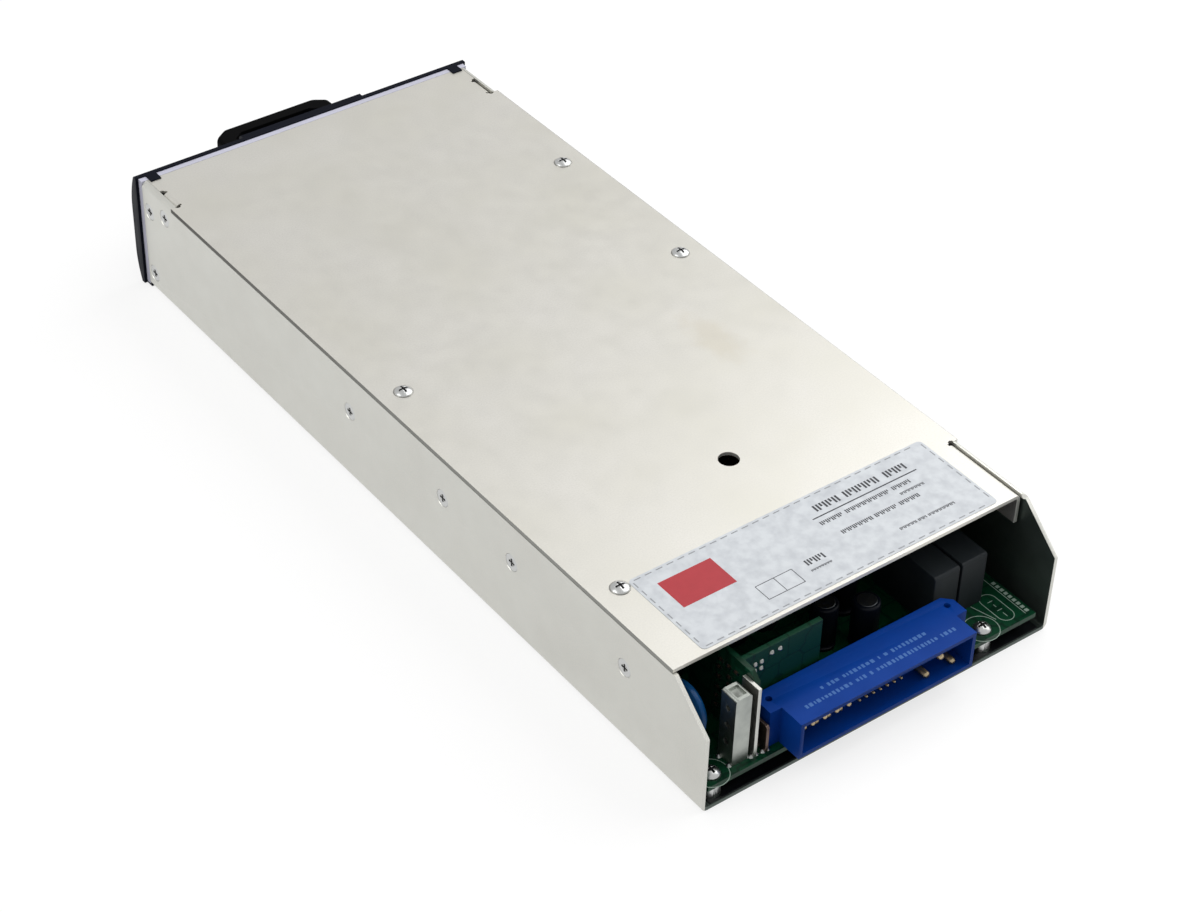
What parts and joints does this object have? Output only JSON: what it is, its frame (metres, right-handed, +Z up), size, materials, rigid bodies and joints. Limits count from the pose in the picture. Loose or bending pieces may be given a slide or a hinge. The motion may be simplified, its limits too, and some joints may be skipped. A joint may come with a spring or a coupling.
{
  "type": "rack power module",
  "caption": "Plug-in 1U power module: sheet-metal case, moulded fan front with a fixed pull handle, open rear with a blue blind-mate connector on the circuit board.",
  "frame": {"origin": "middle of the underside, halfway between the crown of the front panel and the rear edge of the case", "axes": "+X across, +Y towards the connector, +Z up"},
  "size_m": [0.127, 0.3212, 0.0413],
  "materials": {
    "case_sheet": "satin zinc-plated sheet",
    "cover_sheet": "satin zinc-plated sheet",
    "frame_paint": "pale lavender powder coat",
    "panel_black": "fine texture",
    "handle_black": "fine texture",
    "screw_steel": "bright zinc",
    "screw_black": "black oxide",
    "lens_clear": "clear, slightly green",
    "board_green": "solder mask",
    "fan_black": "satin",
    "film_black": "satin film",
    "connector_blue": "satin moulding",
    "contact_gold": "gold flash",
    "sink_aluminium": "extruded",
    "device_black": "moulded resin",
    "ferrite_grey": "sintered",
    "copper_wire": "enamelled copper",
    "winding_tape": "yellow tape",
    "can_sleeve": "shrink sleeve",
    "film_yellow": "moulded box",
    "relay_grey": "moulded box",
    "varistor_blue": "dipped coating",
    "fuse_ceramic": "glazed",
    "tinned_metal": "tin plate",
    "busbar_copper": "dull copper",
    "trimmer_blue": "moulded box"
  },
  "bodies": {
    "case": {"chassis": "case_sheet", "top_cover": "cover_sheet", "front_frame": "frame_paint", "front_panel": "panel_black", "handle": "handle_black", "handle_screws": "screw_black", "status_lenses": "lens_clear", "indicator_board": "board_green", "fan_frame_left": "fan_black", "fan_frame_right": "fan_black", "fan_stators": "copper_wire", "fan_screws": "screw_black", "frame_screws": "screw_steel", "cover_tab_screws": "screw_steel", "cover_screws": "screw_steel", "heatsink_screws": "screw_steel", "insulating_sheet": "film_black", "board_standoffs": "screw_steel", "main_board": "board_green", "board_screws": "screw_steel", "connector_housing": "connector_blue", "connector_power_pins": "contact_gold", "connector_signal_pins": "contact_gold", "left_heatsink": "sink_aluminium", "right_heatsink": "sink_aluminium", "left_transistors": "device_black", "right_transistors": "device_black", "bridge_rectifier": "device_black", "boost_choke_core": "ferrite_grey", "boost_choke_winding": "copper_wire", "bulk_capacitors": "can_sleeve", "transformer_core": "ferrite_grey", "transformer_winding": "winding_tape", "output_choke_core": "ferrite_grey", "output_choke_winding": "copper_wire", "output_capacitors": "can_sleeve", "filter_choke_cores": "ferrite_grey", "filter_choke_windings": "copper_wire", "film_capacitors": "film_yellow", "relays": "relay_grey", "disc_varistor": "varistor_blue", "fuses": "fuse_ceramic", "fuse_clips": "tinned_metal", "control_board": "board_green", "output_board": "board_green", "board_heatsink": "sink_aluminium", "tall_busbar": "tinned_metal", "short_busbar": "busbar_copper", "small_capacitors": "can_sleeve", "trimmer_body": "trimmer_blue"},
    "fan_left": {"fan_rotor_left": "fan_black"},
    "fan_right": {"fan_rotor_right": "fan_black"},
    "trimmer": {"trimmer_screw": "contact_gold"}
  },
  "joints": [
    {"name": "fan_spin_left", "type": "hinge", "parent": "case", "child": "fan_left", "pos_m": [0.0405, -0.1275, 0.02], "axis": [0, 1, 0], "continuous": true},
    {"name": "fan_spin_right", "type": "hinge", "parent": "case", "child": "fan_right", "pos_m": [-0.0405, -0.1275, 0.02], "axis": [0, 1, 0], "continuous": true},
    {"name": "trimmer_turn", "type": "hinge", "parent": "case", "child": "trimmer", "pos_m": [-0.0033, 0.0738, 0.0172], "axis": [0, 0, 1], "range_deg": [-135, 135]}
  ]
}
